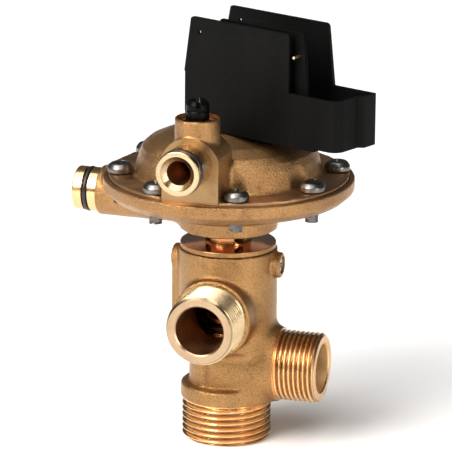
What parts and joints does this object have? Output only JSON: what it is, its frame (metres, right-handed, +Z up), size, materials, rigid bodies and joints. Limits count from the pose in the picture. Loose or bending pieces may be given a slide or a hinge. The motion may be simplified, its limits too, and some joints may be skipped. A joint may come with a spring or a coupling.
{
  "type": "zone valve",
  "caption": "Diaphragm-operated three-way zone valve with threaded pipe ports, hose spigots, an adjusting screw and a switch bracket.",
  "frame": {"origin": "on the valve's vertical axis at the end face of the bottom pipe port", "axes": "+Z up along the stem, +X out of the right port, -Y out of the front port"},
  "size_m": [0.1182, 0.1039, 0.1617],
  "materials": {
    "cast_brass": "sand-cast grain, golden brown",
    "turned_brass": "turned, bright, fine tool lines",
    "black_rubber": "smooth, slightly oiled",
    "diaphragm_rubber": "moulded, matt",
    "screw_steel": "dark zinc plate",
    "plate_steel": "pressed, satin",
    "spring_steel": "drawn wire, satin",
    "copper_ring": "copper-coloured, satin",
    "black_plastic": "moulded, fine texture"
  },
  "bodies": {
    "housing": {"valve_body": "cast_brass", "upper_seat": "turned_brass", "lower_seat": "turned_brass", "gland_cartridge": "turned_brass", "gland_oring": "black_rubber", "stem_oring": "black_rubber", "neck_oring": "black_rubber", "boss_screw_left": "screw_steel", "boss_screw_right": "screw_steel", "lower_housing": "cast_brass", "upper_cover": "cast_brass", "side_spigot_oring": "black_rubber", "front_spigot_oring": "black_rubber", "cover_screw_1": "screw_steel", "cover_screw_2": "screw_steel", "cover_screw_3": "screw_steel", "cover_screw_4": "screw_steel", "cover_screw_5": "screw_steel", "cover_screw_6": "screw_steel", "cover_screw_7": "screw_steel", "cover_screw_8": "screw_steel", "switch_bracket": "black_plastic", "switch_pin": "turned_brass", "bracket_nut": "turned_brass", "top_bush": "turned_brass", "spindle_oring": "black_rubber", "adjuster_bush": "black_plastic", "adjuster_oring": "black_rubber", "snap_ring": "copper_ring", "diaphragm": "diaphragm_rubber", "valve_spring": "spring_steel", "return_spring": "spring_steel"},
    "stem": {"valve_stem": "turned_brass", "upper_disc_seal": "black_rubber", "upper_disc": "turned_brass", "lower_disc_seal": "black_rubber", "lower_disc": "turned_brass", "lower_disc_nut": "turned_brass", "diaphragm_plate_lower": "plate_steel", "diaphragm_plate_upper": "plate_steel", "diaphragm_nut": "turned_brass", "switch_spindle": "spring_steel"},
    "needle": {"adjust_needle": "turned_brass"},
    "knob": {"adjust_knob": "black_plastic"}
  },
  "joints": [
    {"name": "stem_lift", "type": "slide", "parent": "housing", "child": "stem", "axis": [0, 0, 1], "range_m": [0, 0.005], "stiffness_N_per_m": 900, "springref_m": -0.008, "deforming": ["diaphragm", "valve_spring", "return_spring"]},
    {"name": "needle_travel", "type": "slide", "parent": "housing", "child": "needle", "axis": [0, 0, 1], "range_m": [-0.0005, 0.0015]},
    {"name": "knob_turn", "type": "hinge", "parent": "needle", "child": "knob", "pos_m": [-0.00124, -0.03548, 0.1304], "axis": [0, 0, 1], "range_deg": [-180, 540]}
  ],
  "couplings": [
    {"joint": "needle_travel", "follows": "knob_turn", "m_per_rad": 0.00015915}
  ]
}
